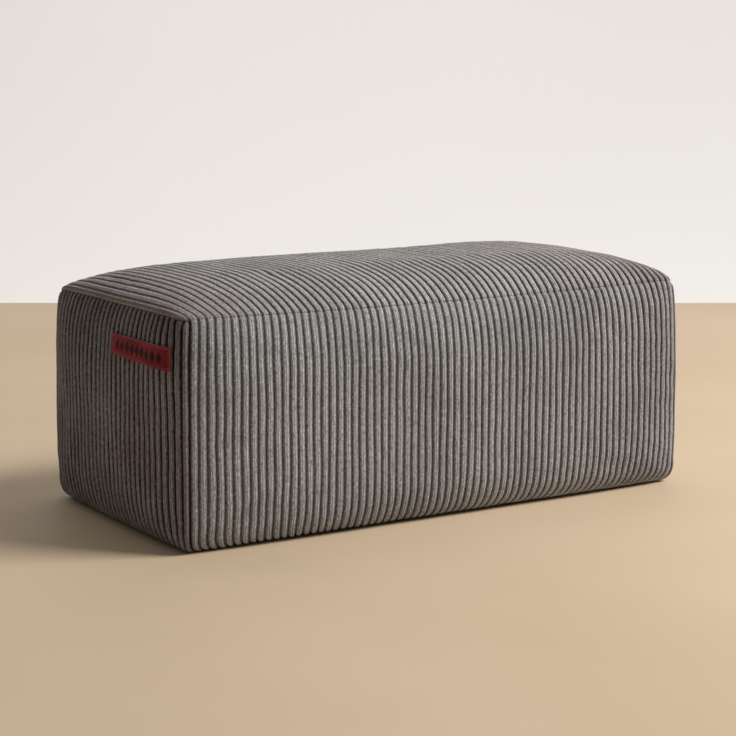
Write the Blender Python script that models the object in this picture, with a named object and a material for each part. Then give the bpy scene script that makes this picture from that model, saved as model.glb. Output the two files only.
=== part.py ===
"""Corduroy bean bag footstool: one filled cushion with sewn channels, and its leather label.

Metres, +Z up. The origin is the centre of the resting face on the floor.
X runs along the length, the front is on -Y, the label is on the -X end.
"""
import math

import bmesh
import bpy

# Cushion, measured between its seams
SEAM_LENGTH = 0.4660
SEAM_DEPTH = 0.2283
SEAM_HEIGHT = 0.175

# How far each cloth panel swells past its seams
TOP_CROWN = 0.0242
FRONT_SWELL = 0.0097
END_SWELL = 0.0092
CORNER_SWELL = 0.0031

# Roundness of each swell: a high power stays flat for longer before it turns into the seam
CROWN_POWER_LENGTH = 4.5
CROWN_EASE_LENGTH = 0.46
CROWN_POWER_DEPTH = 3.3
CROWN_EASE_DEPTH = 0.92
SIDE_POWER = 6.5
SIDE_EASE = 1.0
FRONT_POWER = 7.3
END_POWER = 3.3

# The filling settles: corners are drawn in and down, and the long top seams sag between them
CORNER_REACH_LENGTH = 0.130
CORNER_REACH_DEPTH = 0.313
CORNER_PULL = 0.0018
CORNER_TOP_PULL = 0.0027
CORNER_DROP = 0.0031
SEAM_SAG = 0.0028

# Sewn channel along every seam: the stitching draws the cloth in, fading over its width
CHANNEL_DEPTH = 0.0013
CHANNEL_WIDTH = 0.0060

# Side panels roll under to the base seam, which sits just off the floor
ROLL_HEIGHT = 0.0208
ROLL_INSET = 0.0106
ROLL_TURN = math.radians(115.0)
ROLL_SHARE = 0.34
BASE_CHANNEL_WIDTH = 0.0090

# Mesh steps along each cut of cloth
STEPS_LENGTH = 38
STEPS_DEPTH = 20
STEPS_SIDE = 18

# Leather label on the -X end panel
LABEL_WIDTH = 0.0890
LABEL_HEIGHT = 0.0166
LABEL_THICKNESS = 0.0016
LABEL_GAP = 0.0003
LABEL_CENTRE_Y = -0.0618
LABEL_CENTRE_Z = 0.1452
LABEL_TILT = math.radians(0.3)
LABEL_CORNER = 0.0030
LABEL_STEPS = 24
LABEL_ROWS = 6


def clear_objects():
    for item in list(bpy.data.objects):
        bpy.data.objects.remove(item, do_unlink=True)


def spread(steps):
    """Positions from -1 to 1, closer together at both ends where the cloth turns into a seam."""
    return [-math.cos(math.pi * i / steps) for i in range(steps + 1)]


def hump(value, power, ease):
    """1 in the middle, dropping steeply to 0 at -1 and 1."""
    return max(0.0, 1.0 - abs(value) ** power) ** ease


def channel(distance):
    """Share of the channel depth at a distance from the seam line."""
    return max(0.0, 1 - distance / CHANNEL_WIDTH) ** 2


def toward_centre(value, amount):
    return value - math.copysign(amount, value) if value else value


def settle(point):
    """Let a point of the stretched cover sink with the filling."""
    x, y, z = point
    end = 1 - (1 - abs(x) / (SEAM_LENGTH / 2)) / CORNER_REACH_LENGTH
    side = 1 - (1 - abs(y) / (SEAM_DEPTH / 2)) / CORNER_REACH_DEPTH
    corner = (min(1.3, max(0.0, end)) * min(1.3, max(0.0, side))) ** 2
    high = min(1.0, max(0.0, z / SEAM_HEIGHT)) ** 3
    off_floor = min(1.0, max(0.0, z / ROLL_HEIGHT))
    pull = corner * (CORNER_PULL * off_floor + CORNER_TOP_PULL * high)
    sag = SEAM_SAG * max(0.0, 1 - (2 * x / SEAM_LENGTH) ** 2)
    return (toward_centre(x, pull), toward_centre(y, pull), z - high * (CORNER_DROP * corner + sag))


def draw_in(first, second, out, first_pull, second_pull):
    """Pull a panel point in at its two pairs of seams; out is the direction the panel faces."""
    both = first_pull + second_pull - first_pull * second_pull
    return (
        toward_centre(first, CHANNEL_DEPTH * first_pull),
        toward_centre(second, CHANNEL_DEPTH * second_pull),
        out - CHANNEL_DEPTH * both,
    )


def top_point(s, t):
    crown = hump(s, CROWN_POWER_LENGTH, CROWN_EASE_LENGTH) * hump(t, CROWN_POWER_DEPTH, CROWN_EASE_DEPTH)
    return draw_in(
        s * SEAM_LENGTH / 2,
        t * SEAM_DEPTH / 2,
        SEAM_HEIGHT + TOP_CROWN * crown,
        channel((1 - abs(s)) * SEAM_LENGTH / 2),
        channel((1 - abs(t)) * SEAM_DEPTH / 2),
    )


def side_profile(w):
    """Swell, draw-in and height at w, from the top seam (0) to the base seam (1)."""
    upright = 1 - ROLL_SHARE
    if w <= upright:
        drop = 1 - math.cos(0.5 * math.pi * w / upright)
        drawn = 0.0
        height = SEAM_HEIGHT - (SEAM_HEIGHT - ROLL_HEIGHT) * drop
        level = height / SEAM_HEIGHT
    else:
        turned = (w - upright) / ROLL_SHARE
        drawn = ROLL_INSET * (1 - math.cos(ROLL_TURN * turned))
        height = ROLL_HEIGHT * (1 - math.sin(ROLL_TURN * turned))
        level = ROLL_HEIGHT / SEAM_HEIGHT * (1 - turned)
    return hump(1 - 2 * level, SIDE_POWER, SIDE_EASE), drawn, height


def stand_out(u, swell, panel_swell, power):
    """How far an upright panel stands out past its seams, from corner (-1) to corner (1)."""
    return swell * (CORNER_SWELL + (panel_swell - CORNER_SWELL) * (1 - abs(u) ** power))


def side_point(u, w, along, across, panel_swell, power):
    """Point on an upright panel: distance along it, distance out from the centre, height."""
    swell, drawn, height = side_profile(w)
    out = across / 2 + stand_out(u, swell, panel_swell, power) - drawn
    reach, lifted, out = draw_in(
        u * (along / 2 + CORNER_SWELL * swell - drawn),
        height,
        out,
        channel((1 - abs(u)) * along / 2),
        channel(SEAM_HEIGHT - height),
    )
    return reach, out, lifted


def front_point(u, w):
    reach, out, height = side_point(u, w, SEAM_LENGTH, SEAM_DEPTH, FRONT_SWELL, FRONT_POWER)
    return (reach, -out, height)


def back_point(u, w):
    x, y, z = front_point(u, w)
    return (x, -y, z)


def left_point(u, w):
    reach, out, height = side_point(u, w, SEAM_DEPTH, SEAM_LENGTH, END_SWELL, END_POWER)
    return (-out, reach, height)


def right_point(u, w):
    x, y, z = left_point(u, w)
    return (-x, y, z)


def base_point(s, t):
    """Resting face, lifted to the base seam along its border only."""
    drawn, lift = side_profile(1.0)[1:]
    from_end = (1 - abs(s)) * SEAM_LENGTH / 2
    from_side = (1 - abs(t)) * SEAM_DEPTH / 2
    pull = CHANNEL_DEPTH * channel(from_end) * channel(from_side)
    x = toward_centre(s * (SEAM_LENGTH / 2 - drawn), pull)
    y = toward_centre(t * (SEAM_DEPTH / 2 - drawn), pull)
    return (x, y, lift * max(0.0, 1 - min(from_end, from_side) / BASE_CHANNEL_WIDTH) ** 2)


def add_panel(mesh, point, first, second):
    grid = [[mesh.verts.new(settle(point(a, b))) for b in second] for a in first]
    for i in range(len(first) - 1):
        for j in range(len(second) - 1):
            mesh.faces.new((grid[i][j], grid[i + 1][j], grid[i + 1][j + 1], grid[i][j + 1]))


def make_material(name, colour, roughness):
    material = bpy.data.materials.new(name)
    material.use_nodes = True
    shader = material.node_tree.nodes["Principled BSDF"]
    shader.inputs["Base Color"].default_value = (*colour, 1.0)
    shader.inputs["Roughness"].default_value = roughness
    return material


def finish_object(mesh, name, material, smooth=True):
    bmesh.ops.recalc_face_normals(mesh, faces=mesh.faces)
    data = bpy.data.meshes.new(name)
    mesh.to_mesh(data)
    mesh.free()
    data.materials.append(material)
    for face in data.polygons:
        face.use_smooth = smooth
    item = bpy.data.objects.new(name, data)
    bpy.context.scene.collection.objects.link(item)
    return item


def build_cushion():
    mesh = bmesh.new()
    lengths = spread(STEPS_LENGTH)
    depths = spread(STEPS_DEPTH)
    downs = [i / STEPS_SIDE for i in range(STEPS_SIDE + 1)]
    add_panel(mesh, top_point, lengths, depths)
    add_panel(mesh, base_point, lengths, depths)
    for point in (front_point, back_point):
        add_panel(mesh, point, lengths, downs)
    for point in (left_point, right_point):
        add_panel(mesh, point, depths, downs)
    bmesh.ops.remove_doubles(mesh, verts=mesh.verts, dist=0.00002)
    colour = make_material("corduroy", (0.235, 0.222, 0.208), 0.95)
    return finish_object(mesh, "filled_cushion", colour)


def end_panel_out(y, z):
    """How far the -X end panel stands out from the centre at a width and height."""
    low, high = 0.0, 1 - ROLL_SHARE
    for _ in range(40):
        w = (low + high) / 2
        if side_profile(w)[2] > z:
            low = w
        else:
            high = w
    swell = side_profile(w)[0]
    u = y / (SEAM_DEPTH / 2 + CORNER_SWELL * swell)
    return SEAM_LENGTH / 2 + stand_out(u, swell, END_SWELL, END_POWER)


def label_half_width(row):
    """Half the label's width at a row from -1 to 1, shorter inside the rounded corners."""
    into = max(0.0, abs(row) * LABEL_HEIGHT / 2 - (LABEL_HEIGHT / 2 - LABEL_CORNER))
    cut = LABEL_CORNER - math.sqrt(max(0.0, LABEL_CORNER ** 2 - into ** 2))
    return LABEL_WIDTH / 2 - cut


def label_layer(mesh, stand_off):
    layer = []
    for j in range(LABEL_ROWS + 1):
        row = -math.cos(math.pi * j / LABEL_ROWS)
        rise = row * LABEL_HEIGHT / 2
        half = label_half_width(row)
        line = []
        for i in range(LABEL_STEPS + 1):
            run = half * (2 * i / LABEL_STEPS - 1)
            y = LABEL_CENTRE_Y + run * math.cos(LABEL_TILT) - rise * math.sin(LABEL_TILT)
            z = LABEL_CENTRE_Z + run * math.sin(LABEL_TILT) + rise * math.cos(LABEL_TILT)
            x, y, z = settle((-end_panel_out(y, z), y, z))
            line.append(mesh.verts.new((x - stand_off, y, z)))
        layer.append(line)
    return layer


def build_label():
    mesh = bmesh.new()
    inner = label_layer(mesh, LABEL_GAP)
    outer = label_layer(mesh, LABEL_GAP + LABEL_THICKNESS)
    for layer in (inner, outer):
        for j in range(LABEL_ROWS):
            for i in range(LABEL_STEPS):
                mesh.faces.new((layer[j][i], layer[j][i + 1], layer[j + 1][i + 1], layer[j + 1][i]))
    for j in range(LABEL_ROWS):
        for i in (0, LABEL_STEPS):
            mesh.faces.new((inner[j][i], inner[j + 1][i], outer[j + 1][i], outer[j][i]))
    for i in range(LABEL_STEPS):
        for j in (0, LABEL_ROWS):
            mesh.faces.new((inner[j][i], inner[j][i + 1], outer[j][i + 1], outer[j][i]))
    colour = make_material("label_leather", (0.090, 0.016, 0.014), 0.55)
    return finish_object(mesh, "label", colour, smooth=False)


clear_objects()
build_cushion()
build_label()
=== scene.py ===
"""Wide-wale corduroy bean bag footstool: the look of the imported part.

Six sewn corduroy panels stand for the CAD cushion and a stitched leather label for the CAD label.
Metres, +Z up, in the CAD frame: X along the length, the front on -Y, the label on the -X end.
"""

import math

import bpy
import numpy as np
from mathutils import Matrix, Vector
from mathutils.bvhtree import BVHTree


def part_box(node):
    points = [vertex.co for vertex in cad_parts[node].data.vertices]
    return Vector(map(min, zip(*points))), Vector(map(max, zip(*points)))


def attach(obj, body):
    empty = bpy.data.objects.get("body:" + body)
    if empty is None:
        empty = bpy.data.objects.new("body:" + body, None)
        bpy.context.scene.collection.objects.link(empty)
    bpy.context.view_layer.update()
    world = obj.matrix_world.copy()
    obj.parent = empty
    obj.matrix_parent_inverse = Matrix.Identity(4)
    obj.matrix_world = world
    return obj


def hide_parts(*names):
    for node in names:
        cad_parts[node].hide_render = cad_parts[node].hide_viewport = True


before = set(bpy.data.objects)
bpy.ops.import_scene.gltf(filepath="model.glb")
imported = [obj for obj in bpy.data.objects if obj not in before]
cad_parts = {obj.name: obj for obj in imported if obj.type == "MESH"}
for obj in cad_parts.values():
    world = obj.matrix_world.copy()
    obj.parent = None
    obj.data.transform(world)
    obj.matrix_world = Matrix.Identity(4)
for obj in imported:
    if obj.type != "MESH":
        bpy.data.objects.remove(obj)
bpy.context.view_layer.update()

MM = 0.001
X, Y, Z = np.eye(3)

# ---------------------------------------------------------------- sizes
_, CUSHION_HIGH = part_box("filled_cushion")
LABEL_LOW, LABEL_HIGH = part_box("label")

# How far the sides and the corners swell past the seam lines, and how flat the swelling is
FRONT_SWELL = 9.7 * MM
END_SWELL = 9.2 * MM
CORNER_SWELL = 3.1 * MM
FRONT_POWER = 7.3
END_POWER = 3.3
SIDE_POWER = 6.5

# The seam plane lies TOP_RISE below the cushion's highest point; the cloth crowns TOP_CROWN over it
TOP_RISE = 21.7 * MM
TOP_CROWN = 24.6 * MM
TOP_LENGTH_POWER, TOP_LENGTH_EASE = 4.5, 0.46
TOP_DEPTH_POWER, TOP_DEPTH_EASE = 3.9, 0.84
TOP_LEAN = 0.06

HALF_LENGTH = CUSHION_HIGH.x - END_SWELL
HALF_DEPTH = CUSHION_HIGH.y - FRONT_SWELL
SEAM_HEIGHT = CUSHION_HIGH.z - TOP_RISE

# Lower edges rolled under: the roll takes ROLL_SHARE of the side panel
ROLL_HEIGHT = 20.8 * MM
ROLL_INSET = 10.6 * MM
ROLL_TURN = math.radians(115.0)
ROLL_SHARE = 0.34
BASE_EDGE = 9.0 * MM

# Corners drawn in and dropped, over these shares of the half length and half depth. Past the seam
# lines the pull grows no further than CORNER_PAST, and the back corners drop more than the front ones.
CORNER_REACH_LENGTH = 0.130
CORNER_REACH_DEPTH = 0.313
CORNER_PAST = 1.3
CORNER_PULL = 1.8 * MM
CORNER_TOP_PULL = 1.6 * MM
CORNER_DROP = 2.3 * MM
CORNER_UNEVEN = 0.55
SEAM_SAG = 2.8 * MM

# Wales: each ridge fills WALE_FILL of its pitch. WALE_COLUMNS are the mesh columns of one wale, from
# groove to groove. The wales are counted WALES_COUNTED_AT of the way down an end panel for the ends,
# and down the front for the rest. The phases say where in a wale a panel's first or last column lies.
WALE_PITCH = 6.65 * MM
END_PITCH = 7.6 * MM
WALE_DEPTH = 1.8 * MM
WALE_FILL = 0.87
WALE_POWER, WALE_EASE = 3.0, 0.8
WALE_COLUMNS = np.array([0.0, 0.065, 0.11, 0.18, 0.30, 0.5, 0.70, 0.82, 0.89, 0.935])
COLUMN_GAP = 0.02
WALES_COUNTED_AT = 0.42
WALE_WANDER = 0.07
CRUSHED_LOSS = 0.60
PHASE_AT_START = {"front": 0.13, "top": 0.13, "back": 0.47, "right": 0.40, "base": 0.60}
PHASE_AT_END = {"left": 0.195}

# How near the borders u=-1 and u=1 the ridges begin to drop, in mm
RIDGE_END_REACH = {"front": (6.0, 2.5), "top": (4.5, 2.5)}
OTHER_END_REACH = (2.5, 2.5)

# Mesh rows, seams and the filling's bumps
LINE_SAMPLES = 1201
ROW_STEP = 2.3 * MM
SEAM_ROWS = np.array([0.0, 0.3, 0.7, 1.2, 1.9, 2.8, 4.0, 5.6, 7.5]) * MM
SEAM_SINK = 0.7 * MM
SEAM_WIDTH = 5.0 * MM
SEAM_PULL_REACH = 5.0 * MM
CORNER_HOLE_DEPTH = 6.0 * MM
CORNER_HOLE_REACH = 8.0 * MM
ALLOWANCE = 3.0 * MM
LUMP_HEIGHT = 0.6 * MM
LUMP_FADE = 40.0 * MM


# ---------------------------------------------------------------- panel shapes
def hump(value, power, ease=1.0):
    """1 in the middle, dropping to 0 at -1 and 1."""
    return np.clip(1 - np.abs(value) ** power, 0, 1) ** ease


def settle(x, y, z):
    """Points of the stretched cover, sunk with the filling: corners drawn in, long seams sagging."""
    end = 1 - (1 - np.abs(x) / HALF_LENGTH) / CORNER_REACH_LENGTH
    side = 1 - (1 - np.abs(y) / HALF_DEPTH) / CORNER_REACH_DEPTH
    corner = (np.clip(end, 0, CORNER_PAST) * np.clip(side, 0, CORNER_PAST)) ** 2
    high = np.clip(z / SEAM_HEIGHT, 0, 1) ** 3
    pull = corner * (CORNER_PULL * np.clip(z / ROLL_HEIGHT, 0, 1) + CORNER_TOP_PULL * high)
    sag = SEAM_SAG * np.clip(1 - (x / HALF_LENGTH) ** 2, 0, 1)
    drop = CORNER_DROP * (1 + CORNER_UNEVEN * np.sign(y)) * corner
    sunk = z - high * (drop + sag)
    return np.stack([x - np.sign(x) * pull, y - np.sign(y) * pull, sunk], -1)


def side_profile(w):
    """Swell share, draw-in and height from the top seam (0) to the base seam (1)."""
    upright = 1 - ROLL_SHARE
    turned = np.clip((w - upright) / ROLL_SHARE, 0, 1)
    drop = 1 - np.cos(0.5 * np.pi * np.clip(w / upright, 0, 1))
    straight = SEAM_HEIGHT - (SEAM_HEIGHT - ROLL_HEIGHT) * drop
    rolled = w > upright
    height = np.where(rolled, ROLL_HEIGHT * (1 - np.sin(ROLL_TURN * turned)), straight)
    drawn = ROLL_INSET * (1 - np.cos(ROLL_TURN * turned))
    level = np.where(rolled, ROLL_HEIGHT / SEAM_HEIGHT * (1 - turned), height / SEAM_HEIGHT)
    return hump(1 - 2 * level, SIDE_POWER), drawn, height


def side_point(u, w, along, across, panel_swell, power):
    """Distance along an upright panel, distance out from the centre, height."""
    swell, drawn, height = side_profile(w)
    stand = swell * (CORNER_SWELL + (panel_swell - CORNER_SWELL) * (1 - np.abs(u) ** power))
    return u * (along + CORNER_SWELL * swell - drawn), across + stand - drawn, height + 0 * u


def long_side(u, w):
    return side_point(u, w, HALF_LENGTH, HALF_DEPTH, FRONT_SWELL, FRONT_POWER)


def short_side(u, w):
    return side_point(u, w, HALF_DEPTH, HALF_LENGTH, END_SWELL, END_POWER)


def front(u, w):
    reach, out, height = long_side(u, w)
    return settle(reach, -out, height)


def back(u, w):
    reach, out, height = long_side(u, w)
    return settle(-reach, out, height)


def left(u, w):
    reach, out, height = short_side(u, w)
    return settle(-out, -reach, height)


def right(u, w):
    reach, out, height = short_side(u, w)
    return settle(out, reach, height)


def top(u, w):
    """u along the length, w from the front seam (0) to the back seam (1)."""
    t = 2 * w - 1
    crown = hump(u, TOP_LENGTH_POWER, TOP_LENGTH_EASE) * hump(t, TOP_DEPTH_POWER, TOP_DEPTH_EASE)
    crown = crown * (1 + TOP_LEAN * u)
    return settle(u * HALF_LENGTH + 0 * t, t * HALF_DEPTH + 0 * u, SEAM_HEIGHT + TOP_CROWN * crown)


def base(u, w):
    """Seen from below: u runs against X so that the panel faces down."""
    t = 2 * w - 1
    _, drawn, lift = side_profile(np.array(1.0))
    from_end = (1 - np.abs(u)) * HALF_LENGTH
    from_side = (1 - np.abs(t)) * HALF_DEPTH
    rise = lift * np.clip(1 - np.minimum(from_end, from_side) / BASE_EDGE, 0, 1) ** 2
    return settle(-u * (HALF_LENGTH - drawn) + 0 * t, t * (HALF_DEPTH - drawn) + 0 * u, rise)


PANELS = {"front": front, "back": back, "left": left, "right": right, "top": top, "base": base}

# Way each panel faces, and the way its borders at u=-1, u=1, w=0 and w=1 are sewn to
SEWN_TO = {
    "front": (-Y, -X, X, Z, None),
    "back": (Y, X, -X, Z, None),
    "left": (-X, Y, -Y, Z, None),
    "right": (X, -Y, Y, Z, None),
    "top": (Z, -X, X, -Y, Y),
    "base": (-Z, None, None, None, None),
}


def length_along(points):
    """Running distance along the first axis of a line of points."""
    steps = np.linalg.norm(np.diff(points, axis=0), axis=-1)
    return np.concatenate([[0.0], np.cumsum(steps)])


def guide(name):
    """The panel whose middle line spaces the rows: all four sides share one."""
    return PANELS["front"] if name in ("back", "left", "right") else PANELS[name]


def rows_at(panel, place):
    """Values of w at the distances that place gives for the panel's length, up its middle."""
    w = np.linspace(0, 1, LINE_SAMPLES)
    run = length_along(panel(np.zeros_like(w), w))
    distances = place(run[-1])
    return np.interp(distances, run, w), distances


def fine_distances(total):
    """Distances of the mesh rows: close at both seams, even between them."""
    inner = total - 2 * SEAM_ROWS[-1]
    count = int(round(inner / ROW_STEP))
    middle = SEAM_ROWS[-1] + inner * np.arange(1, count) / count
    return np.concatenate([SEAM_ROWS, middle, total - SEAM_ROWS[::-1]])


def lay_panel(panel, fractions, rows):
    """Grid of points with its columns evenly spaced in the cloth at every row."""
    u = np.sin(np.linspace(-0.5, 0.5, LINE_SAMPLES) * np.pi)
    grid = np.zeros((len(fractions), len(rows), 3))
    for j, w in enumerate(rows):
        line = panel(u, np.full_like(u, w))
        run = length_along(line)
        for k in range(3):
            grid[:, j, k] = np.interp(fractions * run[-1], run, line[:, k])
    return grid


# ---------------------------------------------------------------- smooth sampling
def catmull(values, at):
    """Catmull-Rom samples of values (first axis) at fractional indices."""
    n = len(values)
    i = np.clip(np.floor(at).astype(int), 0, n - 2)
    f = (at - i).reshape((-1,) + (1,) * (values.ndim - 1))
    p0, p1 = values[np.maximum(i - 1, 0)], values[i]
    p2, p3 = values[i + 1], values[np.minimum(i + 2, n - 1)]
    bend = 2 * p0 - 5 * p1 + 4 * p2 - p3 + f * (3 * (p1 - p2) + p3 - p0)
    return p1 + 0.5 * f * (p2 - p0 + f * bend)


def resample(values, across, along):
    """Smooth samples of a coarse grid at fractions across (0 to 1) and along (0 to 1)."""
    mid = catmull(values, across * (values.shape[0] - 1))
    return np.swapaxes(catmull(np.swapaxes(mid, 0, 1), along * (values.shape[1] - 1)), 0, 1)


def soft_noise(size, coarse, seed):
    """Smooth seeded noise, about -1 to 1, on a grid of a size."""
    values = np.random.default_rng(seed).uniform(-1, 1, coarse)
    return resample(values, np.linspace(0, 1, size[0]), np.linspace(0, 1, size[1]))


def smooth_step(x):
    x = np.clip(x, 0, 1)
    return x * x * (3 - 2 * x)


def unit(vectors):
    return vectors / np.maximum(np.linalg.norm(vectors, axis=-1, keepdims=True), 1e-12)


def outward(grid, name):
    """Normals of a panel's grid on its outer side, and whether the grid's own order faces that way."""
    normals = unit(np.cross(np.gradient(grid, axis=0), np.gradient(grid, axis=1)))
    same = normals[len(grid) // 2, grid.shape[1] // 2] @ SEWN_TO[name][0] > 0
    return (normals if same else -normals), same


def grid_quads(n, m, same, start=0):
    """Faces of a grid of n by m points whose numbers begin at start, turned over unless same."""
    index = start + np.arange(n * m).reshape(n, m)
    corners = [index[:-1, :-1], index[1:, :-1], index[1:, 1:], index[:-1, 1:]]
    quads = np.stack(corners, -1).reshape(-1, 4)
    return quads if same else quads[:, ::-1]


# ---------------------------------------------------------------- the filled bag, simulated
# Points across and along each panel of the bag
CAGE = {
    "front": (61, 29),
    "back": (61, 29),
    "left": (31, 29),
    "right": (31, 29),
    "top": (61, 31),
    "base": (61, 31),
}

# The cloth starts SLACK inside its plain shape, fading over SEWN_MARGIN points from a seam. Of its
# movement MOVE_KEPT is kept, and never more than that share of MOST_MOVE.
SLACK = 2.5 * MM
SLACK_UNEVEN = 0.40
SEWN_MARGIN = 5
MOVE_KEPT = 0.7
MOST_MOVE = 2.0 * MM
FRAMES = 24
CLOTH = {
    "quality": 6,
    "mass": 0.35,
    "tension_stiffness": 25,
    "compression_stiffness": 25,
    "shear_stiffness": 12,
    "bending_stiffness": 0.8,
    "use_pressure": True,
    "uniform_pressure_force": 4,
    "vertex_group_mass": "sewn",
    "shrink_min": -0.004,
}


def from_border(count):
    """0 at both ends of a row of points, 1 from SEWN_MARGIN points inside it."""
    place = np.arange(count)
    return np.clip(np.minimum(place, place[::-1]) / SEWN_MARGIN, 0, 1)


def slack_bag():
    """The bag before it is filled: points, faces, sewn points, plain panels and where each one starts."""
    points, faces, pinned, starts, plain = [], [], [], {}, {}
    for seed, (name, panel) in enumerate(PANELS.items()):
        n, m = CAGE[name]
        rows, _ = rows_at(guide(name), lambda total: np.linspace(0, total, m))
        grid = lay_panel(panel, np.linspace(0, 1, n), rows)
        out, same = outward(grid, name)
        fade = np.sqrt(from_border(n)[:, None] * from_border(m)[None, :])
        slack = SLACK * (1 + SLACK_UNEVEN * soft_noise((n, m), (9, 5), 40 + seed)) * fade
        held = fade == 0
        if name == "base":
            slack, held = slack * 0, fade >= 0
        plain[name], starts[name] = grid, sum(len(p) for p in points)
        pinned.extend((starts[name] + np.flatnonzero(held)).tolist())
        faces.extend(grid_quads(n, m, same, starts[name]).tolist())
        points.append((grid - out * slack[..., None]).reshape(-1, 3))
    return np.concatenate(points), faces, pinned, plain, starts


def swell_bag():
    """Blow up the slack bag, held at its seams; returns how far each panel's cloth moves."""
    points, faces, pinned, plain, starts = slack_bag()
    mesh = bpy.data.meshes.new("bag")
    mesh.from_pydata(points.tolist(), [], faces)
    bag = bpy.data.objects.new("bag", mesh)
    bpy.context.scene.collection.objects.link(bag)
    bag.vertex_groups.new(name="sewn").add(pinned, 1.0, "REPLACE")
    cloth = bag.modifiers.new("cloth", "CLOTH")
    cloth.point_cache.frame_start = 1
    cloth.point_cache.frame_end = FRAMES
    for key, value in CLOTH.items():
        setattr(cloth.settings, key, value)
    cloth.settings.effector_weights.gravity = 0
    for step in range(1, FRAMES + 1):
        bpy.context.scene.frame_set(step)
    moved = np.zeros(len(mesh.vertices) * 3)
    evaluated = bag.evaluated_get(bpy.context.evaluated_depsgraph_get())
    evaluated.data.vertices.foreach_get("co", moved)
    moved = moved.reshape(-1, 3)
    bpy.context.scene.frame_set(1)
    bpy.data.objects.remove(bag)
    bpy.data.meshes.remove(mesh)
    result = {}
    for name, start in starts.items():
        n, m = CAGE[name]
        shift = moved[start:start + n * m].reshape(n, m, 3) - plain[name]
        size = np.linalg.norm(shift, axis=-1, keepdims=True)
        result[name] = shift * MOVE_KEPT * MOST_MOVE / (MOST_MOVE + size)
    return result


SWELL = swell_bag()


# ---------------------------------------------------------------- corduroy panels
def fill_mesh(name, points, faces, attributes=None, smooth=True):
    """A mesh object from points, faces that all have as many corners, and values per point."""
    mesh = bpy.data.meshes.new(name)
    mesh.vertices.add(len(points))
    mesh.vertices.foreach_set("co", np.asarray(points, np.float32).ravel())
    faces = np.asarray(faces, np.int32)
    mesh.loops.add(faces.size)
    mesh.loops.foreach_set("vertex_index", faces.ravel())
    mesh.polygons.add(len(faces))
    mesh.polygons.foreach_set("loop_start", np.arange(len(faces), dtype=np.int32) * faces.shape[1])
    mesh.polygons.foreach_set("use_smooth", np.full(len(faces), smooth))
    for key, values in (attributes or {}).items():
        kind, field = ("FLOAT_VECTOR", "vector") if values.ndim == 2 else ("FLOAT", "value")
        layer = mesh.attributes.new(key, kind, "POINT")
        layer.data.foreach_set(field, np.asarray(values, np.float32).ravel())
    mesh.update()
    mesh.validate()
    item = bpy.data.objects.new(name, mesh)
    bpy.context.scene.collection.objects.link(item)
    return item


def wale_height(phase):
    """Height across one wale, 0 in the groove and 1 on the ridge."""
    g = np.abs(phase - 0.5) * 2
    return np.clip(1 - (g / WALE_FILL) ** WALE_POWER, 0, 1) ** WALE_EASE


def panel_columns(name):
    """Fractions across the panel, and the wale coordinate of each: whole numbers are grooves."""
    u = np.linspace(-1, 1, 2001)
    ends = name in ("left", "right")
    counted, pitch = (PANELS[name], END_PITCH) if ends else (front, WALE_PITCH)
    wales = length_along(counted(u, np.full_like(u, WALES_COUNTED_AT)))[-1] / pitch
    start = PHASE_AT_START[name] if name in PHASE_AT_START else (PHASE_AT_END[name] - wales) % 1
    columns = WALE_COLUMNS if name != "base" else WALE_COLUMNS[::2]
    marks = np.concatenate([whole + columns for whole in range(int(wales) + 3)])
    marks = marks[(marks > start + COLUMN_GAP) & (marks < start + wales - COLUMN_GAP)]
    marks = np.concatenate([[start], marks, [start + wales]])
    return (marks - start) / wales, marks


def border_distances(cloth):
    """Distance in the cloth of every grid point from the borders u=-1, u=1, w=0 and w=1."""
    across = np.linalg.norm(np.diff(cloth, axis=0), axis=-1)
    from_left = np.concatenate([np.zeros((1, cloth.shape[1])), np.cumsum(across, 0)])
    down = np.linalg.norm(np.diff(cloth, axis=1), axis=-1)
    from_top = np.concatenate([np.zeros((len(cloth), 1)), np.cumsum(down, 1)], 1)
    return from_left, from_left[-1:] - from_left, from_top, from_top[:, -1:] - from_top


def blunt_ends(name, edges, wale, seed):
    """1 on the panel, dropping where each ridge ends bluntly at a seam, a little differently each time."""
    beside = RIDGE_END_REACH.get(name, OTHER_END_REACH)
    draw = np.random.default_rng(seed)
    rise = np.ones(edges[0].shape)
    for k, distance in enumerate(edges):
        left_over = draw.uniform(0.30, 0.75, wale.max() + 2)[wale] if k > 1 else 0.30
        reach = draw.uniform(1.2, 2.6, wale.max() + 2)[wale] * MM if k > 1 else beside[k] * MM
        d = np.clip(distance / reach, 0, 1)
        rise = np.minimum(rise, left_over + (1 - left_over) * np.sqrt(1 - (1 - d) ** 2))
    return rise


def pulled_direction(name, out, edges):
    """Way the relief stands: the cloth's own normal, turned along each border towards its neighbour."""
    facing, *others = SEWN_TO[name]
    pulls = [np.clip(1 - distance / SEAM_PULL_REACH, 0, 1)[..., None] ** 1.5 for distance in edges]
    target = np.zeros_like(out) + facing
    for pull, other in zip(pulls, others):
        if other is not None:
            target = target + pull * other
    if name not in ("top", "base"):
        target = target * (1 - pulls[3]) - Z * pulls[3]
    most = np.maximum.reduce(pulls)
    return unit(out * (1 - most) + unit(target) * most)


def fading(distance, reach):
    """1 at a seam, fading away from it over a reach in mm."""
    return np.exp(-distance / (reach * MM))


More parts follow.
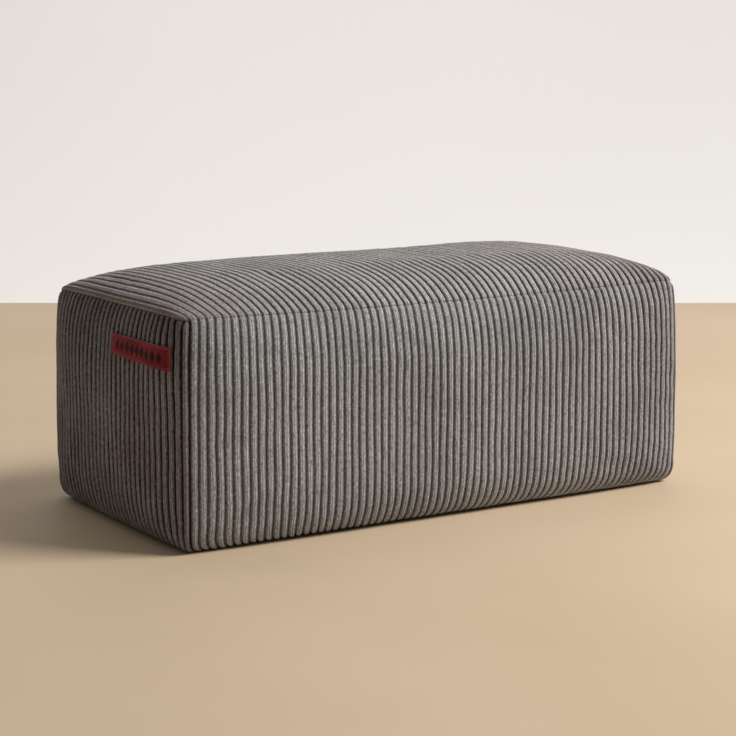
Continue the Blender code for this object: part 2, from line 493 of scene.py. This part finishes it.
def pile_wear_and_shade(name, edges, corner, size, seed):
    """Wear of the pile with painted shade mixed in, how dark its grooves are from painted shade, and how
    far it is crushed, from 0 to 1.
    """
    cloud = 0.5 + 0.5 * soft_noise(size, (9, 5), seed)
    wear_and_shade, dark, crushed = 0.25 * cloud, 0.4 + 0 * cloud, 0 * cloud
    if name == "left":
        # Left end, away from the light: browner towards the bottom, painted shade under the top's overhang
        # along its top seam, and painted shade in all its grooves
        lower = smooth_step((edges[2] - 15 * MM) / (70 * MM))
        wear_and_shade = (0.25 + 0.65 * lower) * (0.6 + 0.4 * cloud) + 0.90 * fading(edges[2], 26)
        dark = 1.0 - 0.15 * lower
    if name == "top":
        # Top: painted shade darkens the right end's wales and grooves; the left end is browner, partly
        # crushed pile and partly painted shade
        near_left, right_end_shade = fading(edges[0], 55), fading(edges[1], 110)
        # The fold along the top's left seam is crushed, pale pile, partly a painted highlight on its crest
        fold = np.clip(1 - edges[0] / (0.9 * MM), 0, 1)
        wear_and_shade = (0.08 * cloud + 0.85 * near_left + 0.70 * right_end_shade) * (1 - 0.4 * fold)
        dark = 0.50 - 0.2 * near_left + 0.50 * right_end_shade
        crushed = np.maximum(0.95 * fading(edges[0], 38), fold)
    if name == "front":
        # Front: the first wale beside the left corner seam is browner, with painted shade; the front also
        # grows darker and browner towards its right end
        beside = smooth_step(1.6 - edges[0] / (7.5 * MM))
        far = fading(edges[1], 90)
        wear_and_shade = 0.06 * cloud + 0.9 * beside + 0.28 * far
        dark = 0.20 + 0.70 * beside + 0.35 * far
    # Painted shade: grooves darker near the base seam, down by the floor
    if name not in ("top", "base"):
        dark = np.maximum(dark, 0.85 * fading(edges[3], 30))
    # Painted shade in the pinched corners: the grooves are darkest there
    hole = smooth_step(2.0 - corner / (2.6 * MM))
    return np.clip(np.stack([wear_and_shade, np.maximum(dark, hole), crushed * (1 - hole)], -1), 0, 1)


def with_allowance(values):
    """A grid with one more ring of points all round, copied from its border."""
    return np.pad(values, ((1, 1), (1, 1), (0, 0)), mode="edge")


def build_panel(name, seed):
    """One corduroy panel, with its smooth cloth and the way its relief stands."""
    fractions, marks = panel_columns(name)
    rows, distances = rows_at(guide(name), fine_distances)
    plain = lay_panel(PANELS[name], fractions, rows)
    size = plain.shape[:2]
    cloth = plain + resample(SWELL[name], fractions, distances / distances[-1])
    out, same = outward(cloth, name)
    edges = border_distances(cloth)
    nearest = np.minimum.reduce(edges)

    # slow bumps of the filling, gone at the seams
    if name != "base":
        lumps = soft_noise(size, (8, 5), seed) + 0.5 * soft_noise(size, (17, 9), seed + 1)
        cloth = cloth + out * (LUMP_HEIGHT * lumps * smooth_step(nearest / LUMP_FADE))[..., None]

    # wales wander along their length, and each differs a little in height
    wander = WALE_WANDER * soft_noise(size, (max(6, size[0] // 18), 9), seed + 2)
    place = marks[:, None] + wander * (0.3 + 0.7 * smooth_step(nearest / (6 * MM)))
    place = np.clip(place, 0.001, None)
    wale = np.floor(place).astype(int)
    strength = np.random.default_rng(seed + 3).uniform(0.86, 1.04, wale.max() + 2)[wale]
    uneven = 0.88 + 0.12 * soft_noise(size, (23, 13), seed + 4)
    height = wale_height(place - wale) * strength * uneven
    rise = blunt_ends(name, edges, wale, seed + 5)
    corner = np.minimum.reduce([np.hypot(a, b) for a in edges[:2] for b in edges[2:]])
    pile = pile_wear_and_shade(name, edges, corner, size, seed + 6)
    depth = WALE_DEPTH * (1 - CRUSHED_LOSS * pile[..., 2])

    sink = np.clip(1 - nearest / SEAM_WIDTH, 0, 1) ** 2 * SEAM_SINK
    sink = sink + CORNER_HOLE_DEPTH * np.clip(1 - corner / CORNER_HOLE_REACH, 0, 1) ** 2
    direction = pulled_direction(name, out, edges)
    points = cloth + direction * (depth * (height * rise - 1) - sink)[..., None]

    # seam allowance turned into the bag all round
    inward = with_allowance(direction) * ALLOWANCE
    inward[1:-1, 1:-1] = 0
    points = with_allowance(points) - inward
    # Tone follows the ridge height, and turns to groove tone in the pinched corners as painted shade
    tone = height * (0.5 + 0.5 * rise) * smooth_step((corner - 1.5 * MM) / (4 * MM))
    # The top's fold along its left seam stays pale, partly a painted highlight on its crest
    if name == "top":
        tone = np.maximum(tone, np.clip(1.2 - edges[0] / (0.8 * MM), 0, 1))
    cord = with_allowance(np.stack([place, edges[2], tone], -1))
    # Painted shade in the seam gaps: the turned-in allowance gets the darkest groove tone
    cord[[0, -1], :, 2] *= 0.2
    cord[:, [0, -1], 2] *= 0.2
    pile = with_allowance(pile)
    pile[[0, -1], :, 1:] = (1.0, 0.0)
    pile[:, [0, -1], 1:] = (1.0, 0.0)
    item = fill_mesh(
        "panel_" + name,
        points.reshape(-1, 3),
        grid_quads(size[0] + 2, size[1] + 2, same),
        {"cord": cord.reshape(-1, 3), "pile": pile.reshape(-1, 3)},
    )
    return item, cloth, direction


panels, surfaces, directions = {}, {}, {}
for order, panel_name in enumerate(PANELS):
    built = build_panel(panel_name, 100 + 20 * order)
    panels[panel_name], surfaces[panel_name], directions[panel_name] = built


# ---------------------------------------------------------------- thread
# Length, radius and arch of one stitch; the last SEAM_ROWS_BARE mesh rows of a corner seam show none
SEAM_STITCH = (2.3 * MM, 0.24 * MM, 0.25 * MM)
LABEL_STITCH = (1.9 * MM, 0.21 * MM, 0.22 * MM)
SEAM_STITCH_STEP = 3.7 * MM
SEAM_STITCHES_SHOWN = 0.8
SEAM_ROWS_BARE = 12
LABEL_STITCH_STEP = 2.6 * MM
LABEL_STITCH_INSET = 1.6 * MM
STITCH_SIDES, STITCH_RINGS = 6, 5


def along_line(run, line, spots):
    """Points of a line at distances along it."""
    return np.stack([np.interp(spots, run, line[:, k]) for k in range(line.shape[1])], -1)


def make_stitches(name, centres, along, outwards, length, radius, arch):
    """Short bowed stitches as one mesh: a thin tube each, its ends dipping into the cloth."""
    sides, rings = STITCH_SIDES, STITCH_RINGS
    s = np.linspace(-1, 1, rings)
    spine = centres[:, None] + along[:, None] * (s * length / 2)[None, :, None]
    spine = spine - outwards[:, None] * (arch * s ** 2)[None, :, None]
    across = unit(np.cross(along, outwards))
    angle = np.arange(sides) * 2 * np.pi / sides
    fat = radius * np.sqrt(1 - 0.85 * s ** 2)
    ring = across[:, None, None] * np.cos(angle)[None, None, :, None]
    ring = ring + outwards[:, None, None] * np.sin(angle)[None, None, :, None]
    points = spine[:, :, None] + ring * fat[None, :, None, None]
    index = np.arange(rings * sides).reshape(rings, sides)
    ahead = np.roll(index, -1, axis=1)
    quads = np.stack([index[:-1], ahead[:-1], ahead[1:], index[1:]], -1).reshape(-1, 4)
    quads = (quads[None] + (np.arange(len(centres)) * rings * sides)[:, None, None]).reshape(-1, 4)
    return fill_mesh(name, points.reshape(-1, 3), quads)


def seam_thread():
    """Stitches that show in the valley of the top and corner seams."""
    draw = np.random.default_rng(77)
    centres, along, ways = [], [], []
    lines = []
    for name in ("front", "back", "left", "right"):
        lines.append((surfaces[name][:, 0], directions[name][:, 0]))
        lines.append((surfaces[name][0, :-SEAM_ROWS_BARE], directions[name][0, :-SEAM_ROWS_BARE]))
    for line, way in lines:
        run = length_along(line)
        spots = np.arange(3.0 * MM, run[-1] - 3.0 * MM, SEAM_STITCH_STEP)
        spots = spots + draw.uniform(-0.3, 0.3, len(spots)) * MM
        spots = spots[draw.uniform(0, 1, len(spots)) < SEAM_STITCHES_SHOWN]
        at = along_line(run, line, spots)
        after = along_line(run, line, spots + 0.5 * MM)
        facing = unit(along_line(run, way, spots))
        depth = SEAM_SINK + draw.uniform(0.85, 1.35, len(spots)) * MM
        centres.append(at - facing * depth[:, None])
        along.append(unit(after - at))
        ways.append(facing)
    centres, along, ways = (np.concatenate(v) for v in (centres, along, ways))
    return make_stitches("seam_thread", centres, along, ways, *SEAM_STITCH)


# ---------------------------------------------------------------- label
# A strip LABEL_TAPER broader than its middle at the front end and as much narrower at the back end,
# bowed up by LABEL_BOW
LABEL_LENGTH = (LABEL_HIGH.y - LABEL_LOW.y) - 0.4 * MM
LABEL_WIDTH = 16.4 * MM
LABEL_TILT = math.asin((LABEL_HIGH.z - LABEL_LOW.z - LABEL_WIDTH) / LABEL_LENGTH)
LABEL_THICK = 1.6 * MM
LABEL_ROUND = 1.2 * MM
LABEL_TAPER = 0.07
LABEL_BOW = 0.5 * MM
LABEL_GAP = 0.15 * MM
LABEL_COLUMNS, LABEL_LINES = 190, 46
MOTIF_COUNT = 9
MOTIF_SPAN = 0.84
MOTIF_REACH = 4.8 * MM
MOTIF_DEPTH = 0.45 * MM


def seat_of(name):
    """Finder of the panel's ridge-top surface from outside, along X."""
    grid = surfaces[name]
    quads = grid_quads(grid.shape[0], grid.shape[1], True)
    tree = BVHTree.FromPolygons(grid.reshape(-1, 3).tolist(), quads.tolist())

    def at(y, z):
        hit = tree.ray_cast(Vector((-1.0, y, z)), Vector((1.0, 0.0, 0.0)))
        return np.array(hit[0]), -np.array(hit[1]) * np.sign(hit[1].x)
    return at


def label_place(run, rise):
    """Where a point of the flat label lies on the end panel, its front end a little broader."""
    share = 2 * run / LABEL_LENGTH
    rise = rise * (1 - LABEL_TAPER * share) + LABEL_BOW * (1 - share ** 2)
    y = (LABEL_LOW.y + LABEL_HIGH.y) / 2 + run * math.cos(LABEL_TILT) - rise * math.sin(LABEL_TILT)
    z = (LABEL_LOW.z + LABEL_HIGH.z) / 2 + run * math.sin(LABEL_TILT) + rise * math.cos(LABEL_TILT)
    return left_seat(y, z)


def motif(run, rise):
    """Debossed share of a row of plain lozenges."""
    step = LABEL_LENGTH * MOTIF_SPAN / MOTIF_COUNT
    inside = np.abs(run) < LABEL_LENGTH * MOTIF_SPAN / 2
    offset = np.abs((run / step + 0.5 * (MOTIF_COUNT % 2)) % 1 - 0.5) * step
    reach = 1 - offset / (step * 0.47) - np.abs(rise) / MOTIF_REACH
    return smooth_step(reach / 0.18) * inside


def label_grid():
    """Flat places of the label's points, along it and across it, and half its length in each line."""
    rows = -np.cos(np.pi * np.linspace(0, 1, LABEL_LINES)) * LABEL_WIDTH / 2
    into = np.clip(np.abs(rows) - (LABEL_WIDTH / 2 - LABEL_ROUND), 0, LABEL_ROUND)
    half = LABEL_LENGTH / 2 - LABEL_ROUND + np.sqrt(LABEL_ROUND ** 2 - into ** 2)
    even = np.linspace(-1, 1, LABEL_COLUMNS)
    share = 0.25 * np.sin(np.pi / 2 * even) + 0.75 * even
    run = share[:, None] * half[None, :]
    return run, np.zeros_like(run) + rows[None, :], half


def build_label():
    """The leather: a debossed outer face, a plain inner face and the rim between them."""
    run, rise, half = label_grid()
    seats = [[label_place(a, b) for a, b in zip(*pair)] for pair in zip(run, rise)]
    under = np.array([[place for place, _ in line] for line in seats])
    way = unit(np.array([[facing for _, facing in line] for line in seats]))
    border = np.minimum(half[None, :] - np.abs(run), LABEL_WIDTH / 2 - np.abs(rise))
    rounded = np.sqrt(1 - (1 - np.clip(border / (0.8 * MM), 0, 1)) ** 2)
    pressed = 0.35 * MM * np.exp(-((border - LABEL_STITCH_INSET) / (0.7 * MM)) ** 2)
    mark = motif(run, rise)
    uneven = 0.08 * MM * soft_noise(run.shape, (24, 6), 61)
    thick = LABEL_THICK * (0.45 + 0.55 * rounded) - pressed - MOTIF_DEPTH * mark + uneven * rounded
    outer = under + way * (LABEL_GAP + thick)[..., None]
    inner = under + way * LABEL_GAP
    n, m = run.shape
    index = np.arange(n * m).reshape(n, m)
    loop = np.concatenate([index[:, 0], index[-1, 1:], index[::-1, -1][1:], index[0, ::-1][1:-1]])
    ahead = np.roll(loop, -1)
    rim = np.stack([loop, ahead, ahead + n * m, loop + n * m], -1)
    faces = np.concatenate([grid_quads(n, m, False), grid_quads(n, m, True, n * m), rim])
    points = np.concatenate([outer.reshape(-1, 3), inner.reshape(-1, 3)])
    flat = np.stack([np.tile(run.ravel(), 2), np.tile(rise.ravel(), 2), np.zeros(2 * n * m)], -1)
    attributes = {
        "mark": np.concatenate([mark.ravel(), np.zeros(n * m)]),
        "edge": np.concatenate([smooth_step(1.2 - border / (0.7 * MM)).ravel(), np.ones(n * m)]),
        "flat": flat,
    }
    return fill_mesh("leather_label", points, faces, attributes)


def label_stitches():
    """Thread round the label, just inside its edge."""
    r = LABEL_ROUND - LABEL_STITCH_INSET
    a = LABEL_LENGTH / 2 - LABEL_STITCH_INSET - r
    b = LABEL_WIDTH / 2 - LABEL_STITCH_INSET - r
    line = []
    for cx, cy, start in ((a, b, 0), (-a, b, 90), (-a, -b, 180), (a, -b, 270)):
        for step in range(0, 91, 15):
            turn = math.radians(start + step)
            line.append((cx + r * math.cos(turn), cy + r * math.sin(turn)))
    line = np.array(line + line[:1])
    run = length_along(line)
    count = int(run[-1] / LABEL_STITCH_STEP)
    spots = (np.arange(count) + 0.5) * run[-1] / count
    first = [label_place(*p) for p in along_line(run, line, spots)]
    second = [label_place(*p) for p in along_line(run, line, (spots + 0.4 * MM) % run[-1])]
    places = np.array([p for p, _ in first])
    ways = unit(np.array([w for _, w in first]))
    along = unit(np.array([p for p, _ in second]) - places)
    centres = places + ways * (LABEL_THICK - 0.05 * MM)
    return make_stitches("label_stitches", centres, along, ways, *LABEL_STITCH)


left_seat = seat_of("left")
thread = seam_thread()
label = build_label()
label_thread = label_stitches()


# ---------------------------------------------------------------- materials
class Nodes:
    """Short names for building a material's nodes."""

    def __init__(self, name):
        self.material = bpy.data.materials.new(name)
        self.material.use_nodes = True
        self.tree = self.material.node_tree
        self.shader = self.tree.nodes["Principled BSDF"]
        self.row = 0

    def add(self, kind, **settings):
        node = self.tree.nodes.new(kind)
        node.location = (-250 * (1 + self.row % 8), -260 * (self.row // 8))
        self.row += 1
        for key, value in settings.items():
            setattr(node, key, value)
        return node

    def feed(self, socket, value):
        if isinstance(value, bpy.types.NodeSocket):
            self.tree.links.new(value, socket)
        else:
            socket.default_value = value

    def attribute(self, name, output="Fac"):
        node = self.add("ShaderNodeAttribute", attribute_type="GEOMETRY", attribute_name=name)
        return node.outputs[output]

    def math(self, operation, a, b=0.5):
        node = self.add("ShaderNodeMath", operation=operation)
        self.feed(node.inputs[0], a)
        self.feed(node.inputs[1], b)
        return node.outputs[0]

    def product(self, a, b):
        return self.math("MULTIPLY", a, b)

    def swing(self, value, amount):
        """A value about 0.5 moved to swing about 0 by an amount."""
        return self.product(self.math("SUBTRACT", value, 0.5), amount)

    def object_place(self):
        return self.add("ShaderNodeTexCoord").outputs["Object"]

    def split(self, vector):
        node = self.add("ShaderNodeSeparateXYZ")
        self.feed(node.inputs[0], vector)
        return node.outputs

    def noise(self, vector, scale, detail=2.0, rough=0.5):
        node = self.add("ShaderNodeTexNoise")
        self.feed(node.inputs["Vector"], vector)
        node.inputs["Scale"].default_value = scale
        node.inputs["Detail"].default_value = detail
        node.inputs["Roughness"].default_value = rough
        return node.outputs["Fac"]

    def mix(self, factor, a, b, blend="MIX"):
        node = self.add("ShaderNodeMix", data_type="RGBA", blend_type=blend)
        self.feed(node.inputs[0], factor)
        self.feed(node.inputs[6], a)
        self.feed(node.inputs[7], b)
        return node.outputs[2]

    def times(self, tone, factor):
        return self.mix(1.0, tone, self.combine(factor, factor, factor), "MULTIPLY")

    def span(self, value, low, high, out_low=0.0, out_high=1.0):
        node = self.add("ShaderNodeMapRange", interpolation_type="SMOOTHSTEP")
        self.feed(node.inputs[0], value)
        for socket, number in zip(node.inputs[1:5], (low, high, out_low, out_high)):
            socket.default_value = number
        return node.outputs[0]

    def combine(self, x, y, z):
        node = self.add("ShaderNodeCombineXYZ")
        for socket, value in zip(node.inputs, (x, y, z)):
            self.feed(socket, value)
        return node.outputs[0]

    def bump(self, height, strength, distance, normal=None):
        node = self.add("ShaderNodeBump")
        node.inputs["Strength"].default_value = strength
        node.inputs["Distance"].default_value = distance
        self.feed(node.inputs["Height"], height)
        if normal is not None:
            self.feed(node.inputs["Normal"], normal)
        return node.outputs[0]

    def surface(self, tone, roughness, specular=0.5, normal=None):
        """Set the shader's colour, roughness, specular level and relief; returns the material."""
        self.feed(self.shader.inputs["Base Color"], tone)
        self.shader.inputs["Roughness"].default_value = roughness
        self.shader.inputs["Specular IOR Level"].default_value = specular
        if normal is not None:
            self.feed(self.shader.inputs["Normal"], normal)
        return self.material


def rgb(r, g, b):
    """Linear colour from 0-255 display values."""
    def line(v):
        v = v / 255
        return v / 12.92 if v <= 0.04045 else ((v + 0.055) / 1.055) ** 2.4
    return (line(r), line(g), line(b), 1.0)


# Near-black groove colour: painted shade in the grooves
SHADED_GROOVE = rgb(16, 15, 15)
# Brown darkening, both for worn pile and for painted shade
WEAR_AND_SHADE_TINT = (0.68, 0.54, 0.56, 1.0)
SHEEN_TINT = (0.78, 0.76, 0.74, 1.0)
# Grooves, ridges and pale pile lines; the top's copy is warmer, painting how light falls on its nap
SIDE_TONES = (rgb(112, 113, 114), rgb(139, 140, 142), rgb(195, 196, 198))
TOP_TONES = (rgb(98, 97, 95), rgb(145, 143, 141), rgb(201, 199, 196))
LEATHER_TONES = (rgb(106, 8, 18), rgb(146, 24, 46))
LEATHER_MARK = rgb(30, 3, 4)
LEATHER_EDGE = rgb(186, 92, 102)
SEAM_THREAD_TONES = (rgb(34, 31, 30), rgb(62, 57, 55))
LABEL_THREAD_TONES = (rgb(158, 84, 94), rgb(206, 140, 146))
FLOOR_TONES = (rgb(196, 174, 145), rgb(202, 180, 152))
BACKDROP_TONES = (rgb(247, 244, 240), rgb(229, 227, 224))


def pile_lines(k, wale, run, crushed, ridge, flat):
    """Two finer pale lines of pile on each ridge, drifting and broken along it."""
    slow = k.combine(k.product(wale, 0.9), k.product(run, 14.0), 0.0)
    shifted = k.math("ADD", k.math("FRACT", wale), k.swing(k.noise(slow, 1.0, 1.0), 0.16))
    from_middle = k.math("ABSOLUTE", k.math("SUBTRACT", shifted, 0.5))
    apart = k.math("ADD", k.product(crushed, 0.10), 0.14)
    from_line = k.math("ABSOLUTE", k.math("SUBTRACT", from_middle, apart))
    lines = k.product(k.span(from_line, 0.02, 0.10, 1.0, 0.0), ridge)
    return k.product(lines, k.span(k.noise(flat, 420.0, 2.0), 0.26, 0.54))


def corduroy(name, groove_tone, ridge_tone, line_tone):
    """Cotton corduroy, led by the cloth's own wale coordinates, the state of its pile and the shade
    painted into it.
    """
    k = Nodes(name)
    wale, run, lift = k.split(k.attribute("cord", "Vector"))
    # The pile's first value mixes brown wear with painted shade; depth is the grooves' painted shade
    wear_and_shade, depth, crushed = k.split(k.attribute("pile", "Vector"))
    place = k.object_place()

    # fibres brushed along the wale, and a coarser fuzz
    flat = k.combine(k.product(wale, WALE_PITCH), k.product(run, 0.22), 0.0)
    fibre = k.noise(flat, 1500.0, 3.0, 0.65)
    fuzz = k.noise(place, 1150.0, 2.0, 0.7)
    ridge = k.span(k.math("ADD", lift, k.swing(fibre, 0.55)), 0.12, 0.70)
    filled = k.product(k.product(k.math("SUBTRACT", 1.0, ridge), crushed), 0.6)
    ridge = k.math("ADD", ridge, filled)
    lines = pile_lines(k, wale, run, crushed, ridge, flat)

    # Grooves turn towards the near-black painted shade by the pile's depth value
    tone = k.mix(ridge, k.mix(depth, groove_tone, SHADED_GROOVE), ridge_tone)
    tone = k.mix(k.product(lines, 0.78), tone, line_tone)
    grain = k.product(k.span(fibre, 0.32, 0.70, 0.58, 1.34), k.span(fuzz, 0.34, 0.66, 0.68, 1.26))
    tone = k.times(tone, grain)

    # cloudy pile; worn parts and painted shade, darker and browner; and grooves darker still where their
    # painted shade is strongest
    tone = k.times(tone, k.span(k.noise(place, 11.0, 3.0, 0.6), 0.34, 0.66, 0.90, 1.08))
    patches = k.span(k.noise(place, 32.0, 3.0, 0.6), 0.30, 0.70, 0.55, 1.0)
    tone = k.mix(k.product(wear_and_shade, patches), tone, k.mix(1.0, tone, WEAR_AND_SHADE_TINT, "MULTIPLY"))
    tone = k.times(tone, k.span(depth, 0.80, 1.0, 1.0, 0.80))

    k.shader.inputs["Sheen Weight"].default_value = 0.08
    k.shader.inputs["Sheen Roughness"].default_value = 0.5
    k.shader.inputs["Sheen Tint"].default_value = SHEEN_TINT
    relief = k.bump(fuzz, 0.5, 0.0004, k.bump(fibre, 0.6, 0.0004))
    return k.surface(tone, 0.95, 0.10, relief)


def leather():
    """Dark red leather with a fine pebble, a debossed mark and a paler cut edge."""
    k = Nodes("label_leather")
    place = k.attribute("flat", "Vector")
    cell = k.add("ShaderNodeTexVoronoi", feature="DISTANCE_TO_EDGE")
    k.feed(cell.inputs["Vector"], place)
    cell.inputs["Scale"].default_value = 1100.0
    pebble = k.span(cell.outputs["Distance"], 0.0, 0.16)
    tone = k.mix(k.span(k.noise(place, 38.0, 3.0, 0.6), 0.3, 0.7), *LEATHER_TONES)
    speckle = k.span(k.noise(place, 700.0), 0.3, 0.7, 0.88, 1.12)
    tone = k.times(tone, k.product(k.span(pebble, 0.0, 1.0, 0.86, 1.04), speckle))
    tone = k.mix(k.product(k.attribute("mark"), 0.97), tone, LEATHER_MARK)
    tone = k.mix(k.product(k.attribute("edge"), 0.6), tone, LEATHER_EDGE)
    return k.surface(tone, 0.6, 0.22, k.bump(pebble, 0.35, 0.00015))


def twisted(name, dark, light):
    """Thread with a fine twist along it."""
    k = Nodes(name)
    ply = k.noise(k.object_place(), 2600.0, 2.0)
    return k.surface(k.mix(k.span(ply, 0.35, 0.65), dark, light), 0.8, normal=k.bump(ply, 0.4, 0.0001))


cord_material = corduroy("corduroy", *SIDE_TONES)
# The top's own copy of the corduroy paints how light falls on its nap
top_material = corduroy("corduroy_top", *TOP_TONES)
for panel_name, item in panels.items():
    item.data.materials.append(top_material if panel_name == "top" else cord_material)
    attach(item, "root")
    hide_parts("filled_cushion")

thread.data.materials.append(twisted("seam_thread", *SEAM_THREAD_TONES))
label_thread.data.materials.append(twisted("label_thread", *LABEL_THREAD_TONES))
label.data.materials.append(leather())
for item in (thread, label_thread, label):
    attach(item, "root")
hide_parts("label")


# ---------------------------------------------------------------- stage, light and camera
CAMERA_AT = Vector((-0.84994, -1.35053, 0.36951))
CAMERA_YAW = math.radians(32.08)
CAMERA_DIP = math.radians(9.494)
CAMERA_LENS = 95.33
FLOOR_START, FLOOR_END = -3.0, 2.776
STAGE_HALF_WIDTH = 4.5
SWEEP_RADIUS = 0.9
BACKDROP_HEIGHT = 3.5

camera_data = bpy.data.cameras.new("camera")
camera_data.lens = CAMERA_LENS
camera_data.sensor_width = 36.0
camera = bpy.data.objects.new("camera", camera_data)
camera.location = CAMERA_AT
camera.rotation_euler = (math.pi / 2 - CAMERA_DIP, 0.0, -CAMERA_YAW)
bpy.context.scene.collection.objects.link(camera)
bpy.context.scene.camera = camera

AHEAD = Vector((math.sin(CAMERA_YAW), math.cos(CAMERA_YAW), 0.0))
ASIDE = Vector((math.cos(CAMERA_YAW), -math.sin(CAMERA_YAW), 0.0))


def on_stage(ahead, aside, height):
    """A point ahead of the camera's foot and to its right."""
    c = Vector((CAMERA_AT.x, CAMERA_AT.y, 0.0)) + AHEAD * ahead + ASIDE * aside
    return (c.x, c.y, height)


def stage_floor():
    sides = (-STAGE_HALF_WIDTH, STAGE_HALF_WIDTH)
    near, far = ([on_stage(ahead, aside, 0.0) for aside in sides] for ahead in (FLOOR_START, FLOOR_END))
    item = fill_mesh("floor", near + far[::-1], [[0, 1, 2, 3]], smooth=False)
    k = Nodes("floor")
    clouds = k.span(k.noise(k.object_place(), 2.5, 3.0), 0.3, 0.7)
    item.data.materials.append(k.surface(k.mix(clouds, *FLOOR_TONES), 0.6, 0.25))
    return item


def backdrop_material():
    """A wall with painted shade, darkening a little from left to right."""
    k = Nodes("backdrop")
    place = k.object_place()
    aside = k.add("ShaderNodeVectorMath", operation="DOT_PRODUCT")
    k.feed(aside.inputs[0], place)
    aside.inputs[1].default_value = ASIDE
    middle = Vector(on_stage(FLOOR_END, 0.0, 0.0)).dot(ASIDE)
    across = k.span(aside.outputs["Value"], middle - 0.8, middle + 0.9)
    tone = k.times(k.mix(across, *BACKDROP_TONES), k.span(k.noise(place, 1.0), 0.3, 0.7, 0.99, 1.01))
    return k.surface(tone, 0.9, 0.1)


def stage_sweep():
    """The backdrop: a quarter round up from the floor's far edge, then upright."""
    profile = []
    for turn in np.linspace(0, math.pi / 2, 25):
        ahead = FLOOR_END + SWEEP_RADIUS * math.sin(turn)
        profile.append((ahead, SWEEP_RADIUS * (1 - math.cos(turn))))
    profile.append((FLOOR_END + SWEEP_RADIUS, BACKDROP_HEIGHT))
    sides = (-STAGE_HALF_WIDTH, STAGE_HALF_WIDTH)
    points = [on_stage(ahead, aside, height) for ahead, height in profile for aside in sides]
    faces = [[2 * i, 2 * i + 1, 2 * i + 3, 2 * i + 2] for i in range(len(profile) - 1)]
    item = fill_mesh("backdrop", points, faces)
    item.data.materials.append(backdrop_material())
    return item


stage_floor()
stage_sweep()


def area_light(name, at, aim, size, power, colour):
    data = bpy.data.lights.new(name, "AREA")
    data.shape = "RECTANGLE"
    data.size, data.size_y = size
    data.energy = power
    data.color = colour
    item = bpy.data.objects.new(name, data)
    item.location = at
    item.rotation_euler = (Vector(aim) - Vector(at)).to_track_quat("-Z", "Y").to_euler()
    bpy.context.scene.collection.objects.link(item)


KEY_LIGHT = {
    "at": (1.35, -1.20, 2.00),
    "aim": (0.0, 0.0, 0.08),
    "size": (1.1, 1.1),
    "power": 80.0,
    "colour": (1.0, 0.985, 0.975),
}
BACKDROP_LIGHT = {
    "at": on_stage(2.3, -1.0, 2.4),
    "aim": on_stage(3.7, -1.0, 0.5),
    "size": (2.4, 0.4),
    "power": 12.5,
    "colour": (0.97, 0.99, 1.0),
}
SKY_COLOUR = (1.0, 0.985, 0.965, 1.0)
SKY_STRENGTH = 0.20

area_light("key", **KEY_LIGHT)
area_light("backdrop_light", **BACKDROP_LIGHT)
world = bpy.data.worlds.new("world")
bpy.context.scene.world = world
world.use_nodes = True
world.node_tree.nodes["Background"].inputs[0].default_value = SKY_COLOUR
world.node_tree.nodes["Background"].inputs[1].default_value = SKY_STRENGTH
bpy.context.scene.view_settings.view_transform = "Standard"
